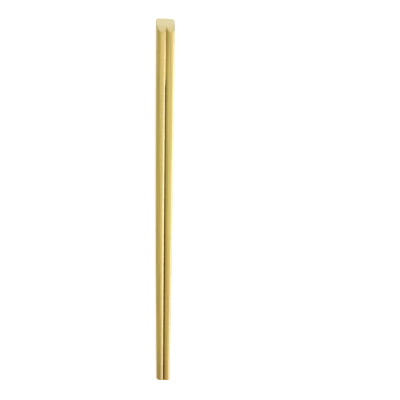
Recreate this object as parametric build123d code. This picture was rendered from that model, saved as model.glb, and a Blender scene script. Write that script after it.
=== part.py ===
"""Disposable bamboo chopsticks: one pair, still joined at the grip end.

A single tapered bamboo strip is milled on both faces into two rounded sticks that share a web along their middle.
A thin slit frees the sticks from the tips up to a bridge near the grip end, which the user snaps apart.
The grip end is sawn off at a slant, so each stick's round back runs out on the sawn face in a scallop.

Millimetres. +X runs from the tips to the grip end, Y goes across the pair and +Z is up.
The pair lies on its flat underside with the slant facing up, and the origin is on the floor under its middle.
"""

import os
from math import atan2, degrees, sqrt

from build123d import *

# The strip
length = 210.0
grip_width = 11.4
tip_width = 8.2
grip_thickness = 4.6
tip_thickness = 3.9
grip_corner_radius = 1.6
tip_corner_radius = 2.0

# The slant at the grip end
slant_length = 8.2
slant_edge_thickness = 1.5

# The milled rounds: one cutter radius, taken deeper along the outer sides than between the sticks
round_radius = 1.9
side_depth = 1.75
groove_depth = 1.25

# The slit starts in the groove, runs a little off the strip's middle and widens towards the tips.
# The groove is on the middle at the grip end and has drifted over to the slit at the tips.
slit_offset = 0.6
slit_width = 0.7
slit_tip_offset = 0.35
slit_tip_width = 0.78
slit_mouth_radius = 0.4
slit_point_length = 9.0
bridge_length = 31.0

# How far the cutters and the saw run past the strip
run_off = 5.0

grip_x = length / 2
tip_x = -length / 2
slant_x = grip_x - slant_length


def back_height(x):
    """Height of the strip's tapered back at one place along it."""
    return tip_thickness + (grip_thickness - tip_thickness) * (x - tip_x) / length


def groove_y(x):
    """Where the groove runs at one place along the strip."""
    return slit_tip_offset * (grip_x - x) / length


slant_slope = (back_height(slant_x) - slant_edge_thickness) / slant_length


def strip_plan():
    """The strip seen from above, with its four corners rounded, as a prism through its thickness."""
    plan = make_face(Polyline((tip_x, -tip_width / 2), (grip_x, -grip_width / 2),
                              (grip_x, grip_width / 2), (tip_x, tip_width / 2), close=True))
    plan = fillet(plan.vertices().group_by(Axis.X)[0], tip_corner_radius)
    plan = fillet(plan.vertices().group_by(Axis.X)[-1], grip_corner_radius)
    return extrude(plan, amount=grip_thickness + run_off, both=True)


def strip_side():
    """The strip seen from the side: flat underside, tapered back and sawn slant, as a prism across its width."""
    past_tip = tip_x - run_off
    past_grip = grip_x + run_off
    side = make_face(Polyline((past_tip, 0), (past_grip, 0),
                              (past_grip, slant_edge_thickness - slant_slope * run_off),
                              (slant_x, back_height(slant_x)),
                              (past_tip, back_height(past_tip)), close=True))
    return extrude(Plane.XZ * side, amount=grip_width + run_off, both=True)


def cutter_outline(depth):
    """Two quarter rounds back to back: what the cutter leaves of the edges on either side of its path."""
    reach = sqrt(2 * round_radius * depth - depth**2)
    flank = TangentArc((reach, 0), (0, -depth), tangent=(-1, 0))
    shank = Polyline((reach, 0), (reach, run_off), (-reach, run_off), (-reach, 0))
    return make_face(flank + mirror(flank, about=Plane.YZ) + shank)


def cutter_pass(tip_y, grip_y, on_back, depth):
    """One straight pass along the strip, over its back or its underside."""
    start = Vector(tip_x, tip_y, tip_thickness if on_back else 0)
    end = Vector(grip_x, grip_y, grip_thickness if on_back else 0)
    way = (end - start).normalized()
    above = Plane(start - way * run_off, x_dir=(0, 1, 0), z_dir=(1 if on_back else -1, 0, 0))
    return extrude(above * cutter_outline(depth), amount=(end - start).length + 2 * run_off, dir=way)


def slit():
    """The slit through the web: a rounded mouth at the tips, nearly parallel walls and a point in the groove."""
    point_x = grip_x - bridge_length
    open_x = point_x - slit_point_length
    mouth_x = tip_x + slit_mouth_radius
    left = slit_tip_offset + slit_tip_width / 2
    right = slit_tip_offset - slit_tip_width / 2
    left_lip = left + slit_mouth_radius
    right_lip = right - slit_mouth_radius
    walls = Polyline((mouth_x, left), (open_x, slit_offset + slit_width / 2), (point_x, groove_y(point_x)),
                     (open_x, slit_offset - slit_width / 2), (mouth_x, right))
    left_mouth = TangentArc(walls @ 0, (tip_x, left_lip), tangent=(-1, 0))
    right_mouth = TangentArc(walls @ 1, (tip_x, right_lip), tangent=(-1, 0))
    outside = Polyline((tip_x, left_lip), (tip_x - run_off, left_lip),
                       (tip_x - run_off, right_lip), (tip_x, right_lip))
    plan = make_face(walls + left_mouth + right_mouth + outside)
    return extrude(plan, amount=grip_thickness + run_off, both=True)


def chopstick_pair():
    pair = strip_plan() & strip_side()
    for on_back in (True, False):
        pair -= cutter_pass(groove_y(tip_x), groove_y(grip_x), on_back, groove_depth)
        pair -= cutter_pass(-tip_width / 2, -grip_width / 2, on_back, side_depth)
        pair -= cutter_pass(tip_width / 2, grip_width / 2, on_back, side_depth)
    return pair - slit()


os.makedirs("parts", exist_ok=True)
pair = chopstick_pair()
export_step(pair, "parts/chopstick_pair.step")

print("slant", round(degrees(atan2(slant_slope, 1)), 1), "degrees from the underside")
print("one pair of", round(pair.volume), "cubic millimetres in", len(pair.solids()), "solid")
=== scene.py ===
# %% [markdown]
# # A pair of bamboo chopsticks, still joined at the grip
# The real pair is one strip of bamboo. A moulding machine planes both faces into two round-backed sticks, a
# saw cuts the grip end off at a slant, a thin blade slits the sticks apart from the tips up to a bridge,
# and a last tumble rubs the edges soft. Everything here is in metres, in the frame of the CAD model: +X
# runs from the tips to the grip, Y goes across, and the pair lies on the floor at Z = 0.

# %% The fixed frame
from math import cos, pi, radians, sin, sqrt

import bpy
from mathutils import Matrix, Vector


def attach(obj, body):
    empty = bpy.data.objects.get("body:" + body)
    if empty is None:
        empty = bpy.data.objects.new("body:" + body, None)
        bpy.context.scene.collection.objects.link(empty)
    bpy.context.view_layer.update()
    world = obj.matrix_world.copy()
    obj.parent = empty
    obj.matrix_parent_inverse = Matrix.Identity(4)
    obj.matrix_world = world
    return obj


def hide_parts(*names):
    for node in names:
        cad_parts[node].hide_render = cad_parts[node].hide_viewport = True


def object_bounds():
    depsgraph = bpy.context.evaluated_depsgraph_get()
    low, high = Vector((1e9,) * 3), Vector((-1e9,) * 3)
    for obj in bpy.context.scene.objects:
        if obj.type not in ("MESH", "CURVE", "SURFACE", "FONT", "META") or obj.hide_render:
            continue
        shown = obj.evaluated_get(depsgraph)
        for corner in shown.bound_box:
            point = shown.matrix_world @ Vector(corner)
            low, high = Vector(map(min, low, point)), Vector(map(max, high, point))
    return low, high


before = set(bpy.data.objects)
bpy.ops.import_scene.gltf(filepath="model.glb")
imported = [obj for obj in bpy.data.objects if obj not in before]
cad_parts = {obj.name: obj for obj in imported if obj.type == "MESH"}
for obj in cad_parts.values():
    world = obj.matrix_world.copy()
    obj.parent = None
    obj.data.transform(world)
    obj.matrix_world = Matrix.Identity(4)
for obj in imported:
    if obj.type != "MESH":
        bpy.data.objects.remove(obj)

MM = 0.001
cad_box = [list(corner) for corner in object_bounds()]
print("CAD box", [[round(v / MM, 2) for v in corner] for corner in cad_box], "mm")

# %% [markdown]
# ## Helpers
# Shader trees and geometry trees are built the same way: make a node, set its properties, fill its inputs.
# An input may be a plain value, another node's socket, or a node, which then gives its first working
# output. Colours are written as sRGB hex, as a paint chart gives them, and a shader wants them linear.


# %% A node with its links, and a colour
def output(source):
    """A node's first working output. A socket or a plain value is given back as it is."""
    if isinstance(source, bpy.types.Node):
        return next(out for out in source.outputs if out.enabled)
    return source


def add(tree, kind, inputs=(), **settings):
    """Adds one node. Inputs are a dict by name or a row by place, and settings are the node's properties."""
    made = tree.nodes.new(kind)
    for name, value in settings.items():
        setattr(made, name, value)
    sockets = [socket for socket in made.inputs if socket.enabled]
    named = {socket.name: socket for socket in sockets}
    for place, source in inputs.items() if isinstance(inputs, dict) else enumerate(inputs):
        socket = named[place] if isinstance(place, str) else sockets[place]
        source = output(source)
        if isinstance(source, bpy.types.NodeSocket):
            tree.links.new(source, socket)
        else:
            socket.default_value = source
    return made


def linear(hex_colour):
    """An sRGB hex colour as linear RGBA."""
    parts = [int(hex_colour[i:i + 2], 16) / 255 for i in (1, 3, 5)]
    return [p / 12.92 if p <= 0.04045 else ((p + 0.055) / 1.055) ** 2.4 for p in parts] + [1.0]


# %% [markdown]
# ## Bamboo, planed and tumbled, with sawn ends
# Bamboo is straight, fine fibre with darker bundles running through it, all along the stick. A solid
# texture in object space gives that on every face at once: the bundles are long streaks on the planed sides
# and turn into specks where the slanted saw cut opens them. The planed wood has been tumbled with a little
# wax to a satin sheen, which lies white along the flanks. It is browner towards the tips, a little deeper
# at the grip and yellower in one stick than in the other. The saw leaves a paler, matt face, yellower
# towards the backs. The slit's walls are matt and a dark brown, which is painted shade for the deep, narrow
# slit. Attributes on the mesh say where both blades went.

# %% Bamboo colours and grain sizes
DEEP, PALE = "#BEA53E", "#DFD071"
OLIVE, ORANGE = "#C6B444", "#D3B04B"
BUNDLE, FIBRE_TINT = "#A88A45", "#E4DDC0"
# The slit's dark brown is painted shade for the deep, narrow slit, not the colour of the cut wood
SLIT_SHADE = "#8A6620"
TIP_TINT, STAIN_TINT = "#E9DD9A", "#F4E4CC"
GRIP_TINT, SIDE_TINT = "#F9F5FC", "#F6F5E4"
SAWN, SAWN_SPECK, SAWN_RIM = "#DBD0A3", "#C4AC74", "#D3BD7A"
# Each pattern's length along the stick and width across it, in millimetres. Single fibres are under 0.1 wide
# and would only be noise in the picture, so they are drawn coarser.
STREAK, PATCH, BUNDLES = (70, 1.3), (24, 3), (30, 0.75)
FIBRE, SAW_MARKS = (50, 0.4), (1.2, 0.5)
# The stretch of each texture's own values, from 0 to 1, over which its pattern comes on
STREAK_ON, PATCH_ON, STRAND_ON, BUNDLE_ON = (0.3, 0.7), (0.35, 0.65), (0.5, 0.7), (0.35, 0.05)
BUNDLE_DARKNESS = 0.45
# The stretch, in millimetres, over which each tint comes on: three along X, the last one across Y
TIP_BROWN, STAIN, GRIP_DEEP, SIDE_YELLOW = (60, -105), (-84, -106), (25, 60), (-1, 1)
SATIN, MATT = 0.35, 0.75
WAX, WAX_ROUGHNESS = 0.65, 0.35
FIBRE_BUMP = 0.02
RIM_DEPTH = 2.2


def grain(tree, kind, place, span, comes_on=(0.0, 1.0), **settings):
    """A solid texture stretched to a grain of the given length and width, from 0 to 1."""
    along, across = span
    stretch = [1 / (along * MM), 1 / (across * MM), 1 / (across * MM)]
    stretched = add(tree, "ShaderNodeVectorMath", (place, stretch), operation="MULTIPLY")
    texture = add(tree, kind, {"Vector": stretched, "Scale": 1.0, **settings})
    start, end = comes_on
    return add(tree, "ShaderNodeMapRange", {"Value": texture, "From Min": start, "From Max": end})


def bamboo():
    material = bpy.data.materials.new("planed_and_sawn_bamboo")
    material.use_nodes = True
    tree = material.node_tree
    shader = tree.nodes["Principled BSDF"]
    place = add(tree, "ShaderNodeTexCoord").outputs["Object"]
    sawn = add(tree, "ShaderNodeAttribute", attribute_name="sawn").outputs["Fac"]

    streak = grain(tree, "ShaderNodeTexNoise", place, STREAK, STREAK_ON, Detail=3.0)
    patch = grain(tree, "ShaderNodeTexNoise", place, PATCH, PATCH_ON, Detail=1.0)
    bundle = grain(tree, "ShaderNodeTexVoronoi", place, BUNDLES, BUNDLE_ON)
    strand = grain(tree, "ShaderNodeTexNoise", place, FIBRE, STRAND_ON, Detail=1.0)
    fibre = grain(tree, "ShaderNodeTexNoise", place, FIBRE, Detail=1.0)

    tone = add(tree, "ShaderNodeMix", {"Factor": streak, "A": linear(DEEP), "B": linear(PALE)},
               data_type="RGBA")
    hue = add(tree, "ShaderNodeMix", {"Factor": patch, "A": linear(OLIVE), "B": linear(ORANGE)},
              data_type="RGBA")
    wood = add(tree, "ShaderNodeMix", {"Factor": 0.5, "A": tone, "B": hue}, data_type="RGBA")
    dark = add(tree, "ShaderNodeMath", (bundle, BUNDLE_DARKNESS), operation="MULTIPLY")
    wood = add(tree, "ShaderNodeMix", {"Factor": dark, "A": wood, "B": linear(BUNDLE)}, data_type="RGBA")
    wood = add(tree, "ShaderNodeMix", {"Factor": strand, "A": wood, "B": linear(FIBRE_TINT)},
               data_type="RGBA", blend_type="MULTIPLY")
    axes = add(tree, "ShaderNodeSeparateXYZ", (place,)).outputs
    for axis, (start, end), tint in (("X", TIP_BROWN, TIP_TINT), ("X", STAIN, STAIN_TINT),
                                     ("X", GRIP_DEEP, GRIP_TINT), ("Y", SIDE_YELLOW, SIDE_TINT)):
        share = add(tree, "ShaderNodeMapRange", {"Value": axes[axis], "From Min": start * MM,
                                                 "From Max": end * MM})
        wood = add(tree, "ShaderNodeMix", {"Factor": share, "A": wood, "B": linear(tint)},
                   data_type="RGBA", blend_type="MULTIPLY")

    marks = grain(tree, "ShaderNodeTexNoise", place, SAW_MARKS, Detail=2.0)
    speck = add(tree, "ShaderNodeMath", (marks, bundle), operation="MULTIPLY")
    rim = add(tree, "ShaderNodeAttribute", attribute_name="cut_depth").outputs["Fac"]
    rim = add(tree, "ShaderNodeMapRange", {"Value": rim, "From Min": RIM_DEPTH * MM, "From Max": 0.0})
    cut = add(tree, "ShaderNodeMix", {"Factor": rim, "A": linear(SAWN), "B": linear(SAWN_RIM)},
              data_type="RGBA")
    cut = add(tree, "ShaderNodeMix", {"Factor": speck, "A": cut, "B": linear(SAWN_SPECK)},
              data_type="RGBA")
    slit = add(tree, "ShaderNodeAttribute", attribute_name="slit").outputs["Fac"]
    colour = add(tree, "ShaderNodeMix", {"Factor": sawn, "A": wood, "B": cut}, data_type="RGBA")
    # Painted shade: the slit's walls take the dark brown of a deep, narrow slit in shade
    colour = add(tree, "ShaderNodeMix", {"Factor": slit, "A": colour, "B": linear(SLIT_SHADE)}, data_type="RGBA")

    cut_by_blade = add(tree, "ShaderNodeMath", (sawn, slit), operation="MAXIMUM")
    rough = add(tree, "ShaderNodeMapRange", {"Value": cut_by_blade, "To Min": SATIN, "To Max": MATT})
    bump = add(tree, "ShaderNodeBump", {"Height": fibre, "Distance": FIBRE_BUMP * MM})
    wax = add(tree, "ShaderNodeMapRange", {"Value": cut_by_blade, "To Min": WAX, "To Max": 0.0})
    finish = {"Base Color": colour, "Roughness": rough, "Coat Weight": wax, "Normal": bump}
    for name, source in finish.items():
        tree.links.new(output(source), shader.inputs[name])
    shader.inputs["Coat Roughness"].default_value = WAX_ROUGHNESS
    return material


bamboo_finish = bamboo()
print("material", bamboo_finish.name, "with", len(bamboo_finish.node_tree.nodes), "nodes")

# %% [markdown]
# ## The rule behind the shape
# Every soft edge of the pair is the same quarter round: the backs, the groove between the sticks, the
# corners of the ends and the mouth of the slit. So the round is one small node group. It takes how far a
# place is from an edge and says how deep the round has cut there. Reach is where the round starts, measured
# from the edge.


# %% The quarter round
def quarter_round():
    tree = bpy.data.node_groups.new("quarter round", "GeometryNodeTree")
    for name in ("From edge", "Radius", "Reach"):
        tree.interface.new_socket(name, in_out="INPUT", socket_type="NodeSocketFloat")
    tree.interface.new_socket("Depth", in_out="OUTPUT", socket_type="NodeSocketFloat")
    given = add(tree, "NodeGroupInput").outputs
    inside = add(tree, "ShaderNodeMath", (given["Reach"], given["From edge"]), operation="SUBTRACT")
    inside = add(tree, "ShaderNodeMath", (inside, 0.0), operation="MAXIMUM")
    inside = add(tree, "ShaderNodeMath", (inside, 2.0), operation="POWER")
    rise = add(tree, "ShaderNodeMath", (given["Radius"], 2.0), operation="POWER")
    rise = add(tree, "ShaderNodeMath", (rise, inside), operation="SUBTRACT")
    rise = add(tree, "ShaderNodeMath", (rise, 0.0), operation="MAXIMUM")
    rise = add(tree, "ShaderNodeMath", (rise,), operation="SQRT")
    depth = add(tree, "ShaderNodeMath", (given["Radius"], rise), operation="SUBTRACT")
    add(tree, "NodeGroupOutput", (depth,))
    return tree


ROUND = quarter_round()
print("node group", ROUND.name, "with", len(ROUND.nodes), "nodes")

# %% [markdown]
# ## Sizes
# The tree takes its sizes as named inputs, so that a pair of another make is only other numbers. They
# repeat the CAD model's, in millimetres, but for a slit that comes 0.15 nearer to the middle at the tips. A
# few more are only for the eye: the soft edges that tumbling leaves, the slight crown of a planed back, the
# waves in it, and how little the strip is fuller and bowed in its middle.


# %% The pair's sizes
def reach(radius, depth):
    """How far from an edge a round of this radius starts, to be this deep at the edge."""
    return sqrt(2 * radius * depth - depth ** 2)


BACK_RADIUS, SIDE_DEPTH, GROOVE_DEPTH = 1.9, 1.75, 1.25
sizes = {
    "Length": 210.0,
    "Grip width": 11.4,
    "Tip width": 8.2,
    "Grip thickness": 4.6,
    "Tip thickness": 3.9,
    "Back radius": BACK_RADIUS,
    "Side reach": reach(BACK_RADIUS, SIDE_DEPTH),
    "Groove reach": reach(BACK_RADIUS, GROOVE_DEPTH),
    "Belly": 0.3,
    "Bow": 0.12,
    "Crown": 0.14,
    "Crown reach": 1.9,
    "Grip corner": 1.6,
    "Tip corner": 2.0,
    "Tip end round": 0.5,
    "Grip end round": 0.06,
    "Slit offset": 0.6,
    "Slit width": 0.7,
    "Slit tip offset": 0.2,
    "Slit tip width": 0.78,
    "Slit mouth": 0.4,
    "Slit point": 9.0,
    "Bridge": 31.0,
    "Slant length": 8.2,
    "Slant edge": 1.5,
    "Saw arris": 0.12,
    "Planing waves": 0.04,
}
print(len(sizes), "sizes")

# %% [markdown]
# ## Two sticks from one block
# A stick is a block of little squares, squeezed into shape by the rule. The same block serves both hands:
# the slit runs a little off the middle, so the sticks aren't quite mirror images, and an attribute says
# which hand a point is on. The block's own coordinates say which row, column and layer it belongs to. Rows
# lie close together where the shape turns quickly, at the tips, at the point of the slit and on the slant.
# Columns and layers crowd towards both of their ends, because the backs fall away steeply there.

# %% The tree and its block
TIP_RUN, SLANT_RUN = 3.0, 12.0
straight_run = sizes["Length"] - TIP_RUN - sizes["Slit point"] - sizes["Bridge"]
bridge_run = sizes["Bridge"] - SLANT_RUN
# Length of each run from the tips to the grip, its rows and how they are spaced
ROW_RUNS = ((TIP_RUN, 26, "SMOOTHSTEP"), (straight_run, 93, "LINEAR"), (sizes["Slit point"], 15, "LINEAR"),
            (bridge_run, 12, "LINEAR"), (SLANT_RUN, 66, "SMOOTHSTEP"))
ROWS = sum(rows for length, rows, spacing in ROW_RUNS)
COLUMNS, LAYERS = 56, 12
CROWDING = 0.9

shape = bpy.data.node_groups.new("joined pair", "GeometryNodeTree")
shape.interface.new_socket("Geometry", in_out="OUTPUT", socket_type="NodeSocketGeometry")
keys = {name: shape.interface.new_socket(name, in_out="INPUT", socket_type="NodeSocketFloat").identifier
        for name in sizes}
size = add(shape, "NodeGroupInput").outputs
block = add(shape, "GeometryNodeMeshCube", {"Size": (1.0, 1.0, 1.0), "Vertices X": ROWS + 1,
                                            "Vertices Y": COLUMNS + 1, "Vertices Z": LAYERS + 1})
left = add(shape, "GeometryNodeStoreNamedAttribute", {"Geometry": block, "Name": "hand", "Value": 1.0})
right = add(shape, "GeometryNodeStoreNamedAttribute", {"Geometry": block, "Name": "hand", "Value": -1.0})
right = add(shape, "GeometryNodeFlipFaces", {"Mesh": right})
blocks = add(shape, "GeometryNodeJoinGeometry", (left,))
shape.links.new(output(right), blocks.inputs[0])
hand = add(shape, "GeometryNodeInputNamedAttribute", {"Name": "hand"})
in_block = add(shape, "GeometryNodeInputPosition")
in_block = add(shape, "ShaderNodeVectorMath", (in_block, (0.5, 0.5, 0.5)), operation="ADD")
row, column, layer = add(shape, "ShaderNodeSeparateXYZ", (in_block,)).outputs

from_tip, first = 0.0, 0
for length, rows, spacing in ROW_RUNS:
    run = add(shape, "ShaderNodeMapRange", {"Value": row, "From Min": first / ROWS, "To Max": length * MM,
                                            "From Max": (first + rows) / ROWS}, interpolation_type=spacing)
    from_tip = add(shape, "ShaderNodeMath", (from_tip, run), operation="ADD")
    first += rows
from_grip = add(shape, "ShaderNodeMath", (size["Length"], from_tip), operation="SUBTRACT")

crowded = []
for even in (column, layer):
    turn = add(shape, "ShaderNodeMath", (even, 2 * pi), operation="MULTIPLY")
    turn = add(shape, "ShaderNodeMath", (turn,), operation="SINE")
    crowded.append(add(shape, "ShaderNodeMath", (turn, -CROWDING / (2 * pi), even), operation="MULTIPLY_ADD"))
across, upward = crowded
print(ROWS, "rows of", COLUMNS, "columns and", LAYERS, "layers")

# %% [markdown]
# ## The plan
# Seen from above, a stick lies between the slit and the outer edge. The edge tapers towards the tips and
# turns round at the corners. Split bamboo is never quite true, so the strip has a slight belly, and its
# middle line bows to one side. The groove follows that line and drifts off it towards the tips. The slit
# starts as a point in the groove, leaves it and keeps a straight course to the tips, where it opens in a
# small mouth.

# %% Where a column lies
half_width = add(shape, "ShaderNodeMapRange", {"Value": from_tip, "From Max": size["Length"],
                                               "To Min": size["Tip width"], "To Max": size["Grip width"]})
# The arch is 0 at both ends and 1 in the middle: four times the two shares of the length.
arch = add(shape, "ShaderNodeMath", (from_tip, from_grip), operation="MULTIPLY")
arch = add(shape, "ShaderNodeMath", (arch, size["Length"]), operation="DIVIDE")
arch = add(shape, "ShaderNodeMath", (arch, size["Length"]), operation="DIVIDE")
arch = add(shape, "ShaderNodeMath", (arch, 4.0), operation="MULTIPLY")
belly = add(shape, "ShaderNodeMath", (arch, size["Belly"]), operation="MULTIPLY")
bow = add(shape, "ShaderNodeMath", (arch, size["Bow"]), operation="MULTIPLY")
half_width = add(shape, "ShaderNodeMath", (half_width, 0.5, belly), operation="MULTIPLY_ADD")
corner = {}
for name, distance in (("Tip corner", from_tip), ("Grip corner", from_grip), ("Slit mouth", from_tip),
                       ("Tip end round", from_tip), ("Grip end round", from_grip)):
    corner[name] = add(shape, "GeometryNodeGroup", (distance, size[name], size[name]), node_tree=ROUND)
outer = add(shape, "ShaderNodeMath", (half_width, corner["Tip corner"]), operation="SUBTRACT")
outer = add(shape, "ShaderNodeMath", (outer, corner["Grip corner"]), operation="SUBTRACT")

slit_end = add(shape, "ShaderNodeMath", (size["Bridge"], size["Slit point"]), operation="ADD")
half_slit = add(shape, "ShaderNodeMath", (size["Slit width"], 0.5), operation="MULTIPLY")
tip_wall = add(shape, "ShaderNodeMath", (size["Slit tip width"], 0.5), operation="MULTIPLY")
wall = add(shape, "ShaderNodeMapRange", {"Value": from_grip, "From Min": slit_end, "From Max": size["Length"],
                                         "To Min": half_slit, "To Max": tip_wall})
opening = add(shape, "ShaderNodeMapRange", {"Value": from_grip, "From Min": size["Bridge"],
                                            "From Max": slit_end})
half_gap = add(shape, "ShaderNodeMath", (wall, opening, corner["Slit mouth"]), operation="MULTIPLY_ADD")
groove_y = add(shape, "ShaderNodeMapRange", {"Value": from_grip, "From Max": size["Length"],
                                             "To Max": size["Slit tip offset"]})
open_y = add(shape, "ShaderNodeMapRange", {"Value": from_grip, "From Min": slit_end,
                                           "From Max": size["Length"], "To Min": size["Slit offset"],
                                           "To Max": size["Slit tip offset"]})
open_y = add(shape, "ShaderNodeMath", (open_y, bow), operation="SUBTRACT")
slit_y = add(shape, "ShaderNodeMapRange", {"Value": opening, "To Min": groove_y, "To Max": open_y})
inner = add(shape, "ShaderNodeMath", (slit_y, hand, half_gap), operation="MULTIPLY_ADD")
y = add(shape, "ShaderNodeMapRange", {"Value": across, "To Min": inner, "To Max": outer})

# %% [markdown]
# ## The section
# The cutters take the same round off both faces: deep along the outer edge, less deep in the groove between
# the sticks. Between the rounds the back is slightly crowned. The saw then takes everything above a
# slanting plane. Where a round back meets that plane it runs out in a scallop, with nothing added for it.
# The arris is only smoothed a little.

# %% Where a layer lies
to_edge = add(shape, "ShaderNodeMath", (half_width, y), operation="SUBTRACT")
side = add(shape, "GeometryNodeGroup", (to_edge, size["Back radius"], size["Side reach"]), node_tree=ROUND)
groove_middle = add(shape, "ShaderNodeMath", (groove_y, hand), operation="MULTIPLY")
to_groove = add(shape, "ShaderNodeMath", (y, groove_middle), operation="SUBTRACT")
groove = add(shape, "GeometryNodeGroup", (to_groove, size["Back radius"], size["Groove reach"]),
             node_tree=ROUND)
drop = add(shape, "ShaderNodeMath", (side, groove), operation="ADD")
ends = add(shape, "ShaderNodeMath", (corner["Tip end round"], corner["Grip end round"]), operation="ADD")
underside = add(shape, "ShaderNodeMath", (drop, ends), operation="ADD")

height = add(shape, "ShaderNodeMapRange", {"Value": from_tip, "From Max": size["Length"],
                                           "To Min": size["Tip thickness"], "To Max": size["Grip thickness"]})
ridge = add(shape, "ShaderNodeMath", (half_width, groove_middle), operation="ADD")
ridge = add(shape, "ShaderNodeMath", (ridge, 0.5), operation="MULTIPLY")
to_ridge = add(shape, "ShaderNodeMath", (y, ridge), operation="SUBTRACT")
to_ridge = add(shape, "ShaderNodeMath", (to_ridge,), operation="ABSOLUTE")
crown = add(shape, "ShaderNodeMapRange", {"Value": to_ridge, "From Max": size["Crown reach"],
                                          "To Max": size["Crown"]}, interpolation_type="SMOOTHSTEP")
back = add(shape, "ShaderNodeMath", (height, drop), operation="SUBTRACT")
back = add(shape, "ShaderNodeMath", (back, crown), operation="SUBTRACT")
slant_top = add(shape, "ShaderNodeMapRange", {"Value": size["Slant length"], "From Max": size["Length"],
                                              "To Min": size["Grip thickness"],
                                              "To Max": size["Tip thickness"]})
slope = add(shape, "ShaderNodeMath", (slant_top, size["Slant edge"]), operation="SUBTRACT")
slope = add(shape, "ShaderNodeMath", (slope, size["Slant length"]), operation="DIVIDE")
saw = add(shape, "ShaderNodeMath", (from_grip, slope, size["Slant edge"]), operation="MULTIPLY_ADD")
top = add(shape, "ShaderNodeMath", (back, saw, size["Saw arris"]), operation="SMOOTH_MIN")
top = add(shape, "ShaderNodeMath", (top, ends), operation="SUBTRACT")
z = add(shape, "ShaderNodeMapRange", {"Value": upward, "To Min": underside, "To Max": top})
half_length = add(shape, "ShaderNodeMath", (size["Length"], -0.5), operation="MULTIPLY")
x = add(shape, "ShaderNodeMath", (from_tip, half_length), operation="ADD")
handed_y = add(shape, "ShaderNodeMath", (y, hand, bow), operation="MULTIPLY_ADD")
placed = add(shape, "ShaderNodeCombineXYZ", (x, handed_y, z))

# %% [markdown]
# ## From block to pair
# First the mesh is told where the blades went, while the blocks' coordinates still hold. Then the inner
# walls are taken out at the bridge, where the two sticks are one, the blocks are squeezed into sticks, and
# the sticks are welded there. Planing never leaves bamboo dead flat, so all but the sawn face gets slow,
# shallow waves.

# %% Squeeze and weld
WAVE_LENGTH, WAVE_WIDTH = 35, 2.5
# How near to a side of the block, which is 1 long, a point counts as on it
ON_SIDE = 0.001
# In metres, what counts as no gap and how near points are welded
NO_GAP, WELD = 1e-7, 1e-6
cut_depth = add(shape, "ShaderNodeMath", (height, saw), operation="SUBTRACT")
sawn_off = add(shape, "ShaderNodeMath", (back, saw), operation="SUBTRACT")
sawn_off = add(shape, "ShaderNodeMapRange", {"Value": sawn_off, "From Max": size["Saw arris"]})
on_top = add(shape, "ShaderNodeMath", (layer, 1 - ON_SIDE), operation="GREATER_THAN")
on_end = add(shape, "ShaderNodeMath", (row, 1 - ON_SIDE), operation="GREATER_THAN")
sawn = add(shape, "ShaderNodeMath", (sawn_off, on_top), operation="MULTIPLY")
sawn = add(shape, "ShaderNodeMath", (sawn, on_end), operation="MAXIMUM")
pair = add(shape, "GeometryNodeStoreNamedAttribute", {"Geometry": blocks, "Name": "sawn", "Value": sawn})
pair = add(shape, "GeometryNodeStoreNamedAttribute", {"Geometry": pair, "Name": "cut_depth",
                                                      "Value": cut_depth})

on_inside = add(shape, "ShaderNodeMath", (column, ON_SIDE), operation="LESS_THAN")
slit_open = add(shape, "ShaderNodeMath", (half_gap, 0.0), operation="GREATER_THAN")
slit = add(shape, "ShaderNodeMath", (on_inside, slit_open), operation="MULTIPLY")
pair = add(shape, "GeometryNodeStoreNamedAttribute", {"Geometry": pair, "Name": "slit", "Value": slit})

from_joint = add(shape, "ShaderNodeMath", (column, half_gap), operation="ADD")
joined = add(shape, "FunctionNodeCompare", (from_joint, NO_GAP), operation="LESS_THAN")
pair = add(shape, "GeometryNodeDeleteGeometry", {"Geometry": pair, "Selection": joined}, domain="FACE")
pair = add(shape, "GeometryNodeSetPosition", {"Geometry": pair, "Position": placed})
pair = add(shape, "GeometryNodeMergeByDistance", {"Geometry": pair, "Distance": WELD})

position = add(shape, "GeometryNodeInputPosition")
stretch = [1 / (WAVE_LENGTH * MM), 1 / (WAVE_WIDTH * MM), 1 / (WAVE_WIDTH * MM)]
stretched = add(shape, "ShaderNodeVectorMath", (position, stretch), operation="MULTIPLY")
wave = add(shape, "ShaderNodeTexNoise", {"Vector": stretched, "Scale": 1.0, "Detail": 1.0})
wave = add(shape, "ShaderNodeMath", (wave, size["Planing waves"]), operation="MULTIPLY")
was_sawn = add(shape, "GeometryNodeInputNamedAttribute", {"Name": "sawn"})
planed = add(shape, "ShaderNodeMath", (1.0, was_sawn), operation="SUBTRACT")
wave = add(shape, "ShaderNodeMath", (wave, planed), operation="MULTIPLY")
normal = add(shape, "GeometryNodeInputNormal")
inward = add(shape, "ShaderNodeVectorMath", (normal, (-1.0, -1.0, -1.0)), operation="MULTIPLY")
inward = add(shape, "ShaderNodeVectorMath", (inward, wave), operation="MULTIPLY")
pair = add(shape, "GeometryNodeSetPosition", {"Geometry": pair, "Offset": inward})
pair = add(shape, "GeometryNodeSetShadeSmooth", {"Geometry": pair})
pair = add(shape, "GeometryNodeRealizeInstances", {"Geometry": pair})
pair = add(shape, "GeometryNodeSetMaterial", {"Geometry": pair, "Material": bamboo_finish})
add(shape, "NodeGroupOutput", (pair,))
print("tree", shape.name, "with", len(shape.nodes), "nodes")


# %% The pair as a plain mesh
def grown(name, tree, values):
    """A plain mesh object made by a geometry tree, with the modifier gone."""
    piece = bpy.data.objects.new(name, bpy.data.meshes.new(name))
    bpy.context.scene.collection.objects.link(piece)
    modifier = piece.modifiers.new(tree.name, "NODES")
    modifier.node_group = tree
    for key, value in values.items():
        modifier[key] = value
    depsgraph = bpy.context.evaluated_depsgraph_get()
    mesh = bpy.data.meshes.new_from_object(piece.evaluated_get(depsgraph), preserve_all_data_layers=True,
                                           depsgraph=depsgraph)
    piece.modifiers.clear()
    piece.data = mesh
    mesh.name = name
    return piece


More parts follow.
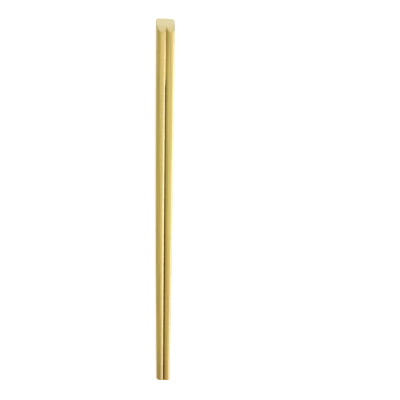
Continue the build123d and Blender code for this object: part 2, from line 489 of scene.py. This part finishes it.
bamboo_pair = grown("bamboo_pair", shape, {keys[name]: value * MM for name, value in sizes.items()})
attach(bamboo_pair, "root")
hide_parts("chopstick_pair")
made = bamboo_pair.data
print(bamboo_pair.name, "has", len(made.polygons), "faces and", len(made.vertices), "points")

# %% [markdown]
# ## A white table
# The pair lies on a white table under a white sky. The table is a plain diffuse white, with just enough
# extra light for the camera's own rays to bring it to the white of the paper, so that a trace of shadow
# stays.

# %% Table and sky
TABLE_SIZE, TABLE_CLEARANCE = 4.0, 0.02
TABLE_WHITE, TABLE_LIFT = 0.75, 0.62
SKY = 0.67


def seen_directly(tree):
    """1 for rays that come from the camera, a mirror-like bounce or through something clear."""
    path = add(tree, "ShaderNodeLightPath").outputs
    seen = add(tree, "ShaderNodeMath", (path["Is Camera Ray"], path["Is Glossy Ray"]), operation="MAXIMUM")
    return add(tree, "ShaderNodeMath", (seen, path["Is Transmission Ray"]), operation="MAXIMUM")


def table():
    material = bpy.data.materials.new("white_table")
    material.use_nodes = True
    tree = material.node_tree
    shader = tree.nodes["Principled BSDF"]
    shader.inputs["Base Color"].default_value = (TABLE_WHITE, TABLE_WHITE, TABLE_WHITE, 1.0)
    shader.inputs["Roughness"].default_value = 1.0
    shader.inputs["Specular IOR Level"].default_value = 0.0
    shader.inputs["Emission Color"].default_value = (1.0, 1.0, 1.0, 1.0)
    lift = add(tree, "ShaderNodeMath", (seen_directly(tree), TABLE_LIFT), operation="MULTIPLY")
    tree.links.new(output(lift), shader.inputs["Emission Strength"])
    half, under = TABLE_SIZE / 2, -TABLE_CLEARANCE * MM
    mesh = bpy.data.meshes.new("table")
    mesh.from_pydata([(-half, -half, under), (half, -half, under), (half, half, under), (-half, half, under)],
                     [], [(0, 1, 2, 3)])
    mesh.materials.append(material)
    piece = bpy.data.objects.new("table", mesh)
    bpy.context.scene.collection.objects.link(piece)


def sky():
    world = bpy.data.worlds.new("white_sky")
    world.use_nodes = True
    tree = world.node_tree
    background = tree.nodes["Background"]
    background.inputs["Color"].default_value = (1.0, 1.0, 1.0, 1.0)
    strength = add(tree, "ShaderNodeMapRange", {"Value": seen_directly(tree), "To Min": SKY, "To Max": 1.0})
    tree.links.new(output(strength), background.inputs["Strength"])
    bpy.context.scene.world = world


table()
sky()
print("table", TABLE_SIZE, "m wide, sky", SKY)

# %% [markdown]
# ## Two soft lamps
# The inner flanks are bright on the right of each stick and the backs fall off to the left, so a window
# stands low on the right. The backs also carry a faint white sheen, which is a weaker panel high on the
# same side. Both are large, to keep the shadow as soft as the picture's.

# %% The lamps
LAMP_DISTANCE = 0.8
WINDOW_HEIGHT, WINDOW_ALONG, WINDOW_SIZE, WINDOW_POWER = radians(30), -0.08, (0.42, 0.7), 6.6
PANEL_HEIGHT, PANEL_ALONG, PANEL_SIZE, PANEL_POWER = radians(72), 0.0, (0.45, 0.35), 0.42


def soft_lamp(name, height, along, spread, power):
    """A rectangular lamp on the right of the pair, so many radians up and so far along it."""
    light = bpy.data.lights.new(name, "AREA")
    light.shape = "RECTANGLE"
    light.size, light.size_y = spread
    light.energy = power
    lamp = bpy.data.objects.new(name, light)
    level = Vector((1, 0, 0))
    to_lamp = Vector((0, -cos(height), sin(height)))
    facing = Matrix((level, to_lamp.cross(level), to_lamp)).transposed().to_4x4()
    lamp.matrix_world = Matrix.Translation(to_lamp * LAMP_DISTANCE + level * along) @ facing
    bpy.context.scene.collection.objects.link(lamp)
    print(name, "at", [round(v, 3) for v in lamp.matrix_world.translation], "m")


soft_lamp("window", WINDOW_HEIGHT, WINDOW_ALONG, WINDOW_SIZE, WINDOW_POWER)
soft_lamp("panel", PANEL_HEIGHT, PANEL_ALONG, PANEL_SIZE, PANEL_POWER)

# %% [markdown]
# ## The camera
# The picture looks down on the pair with the grip at the top. More of each stick's left side shows than of
# its right, so the camera stands over to the left. The pair sits left of the middle and leans a little.

# %% The camera
PICTURE_PIXELS, PAIR_PIXELS = 400, 361.7
MM_PER_PIXEL = sizes["Length"] / PAIR_PIXELS
LENS, SENSOR = 500, 36
TILT, LEAN = radians(20.4), radians(0.38)
TO_MIDDLE_RIGHT, TO_MIDDLE_UP = 35.3, -0.65

view = bpy.data.cameras.new("camera")
view.lens = LENS
view.sensor_width = SENSOR
backward = Vector((0, sin(TILT), cos(TILT)))
rightward = Vector((sin(LEAN), -cos(LEAN) * cos(TILT), cos(LEAN) * sin(TILT)))
upright = backward.cross(rightward)
distance = PICTURE_PIXELS * MM_PER_PIXEL * LENS / SENSOR
middle = Vector((0, 0, (cad_box[0][2] + cad_box[1][2]) / 2))
middle += (rightward * TO_MIDDLE_RIGHT + upright * TO_MIDDLE_UP) * MM_PER_PIXEL * MM
camera = bpy.data.objects.new("camera", view)
turned = Matrix((rightward, upright, backward)).transposed().to_4x4()
camera.matrix_world = Matrix.Translation(middle + backward * distance * MM) @ turned
bpy.context.scene.collection.objects.link(camera)
bpy.context.scene.camera = camera
bpy.context.scene.view_settings.view_transform = "Standard"
print("camera", round(distance), "mm away")
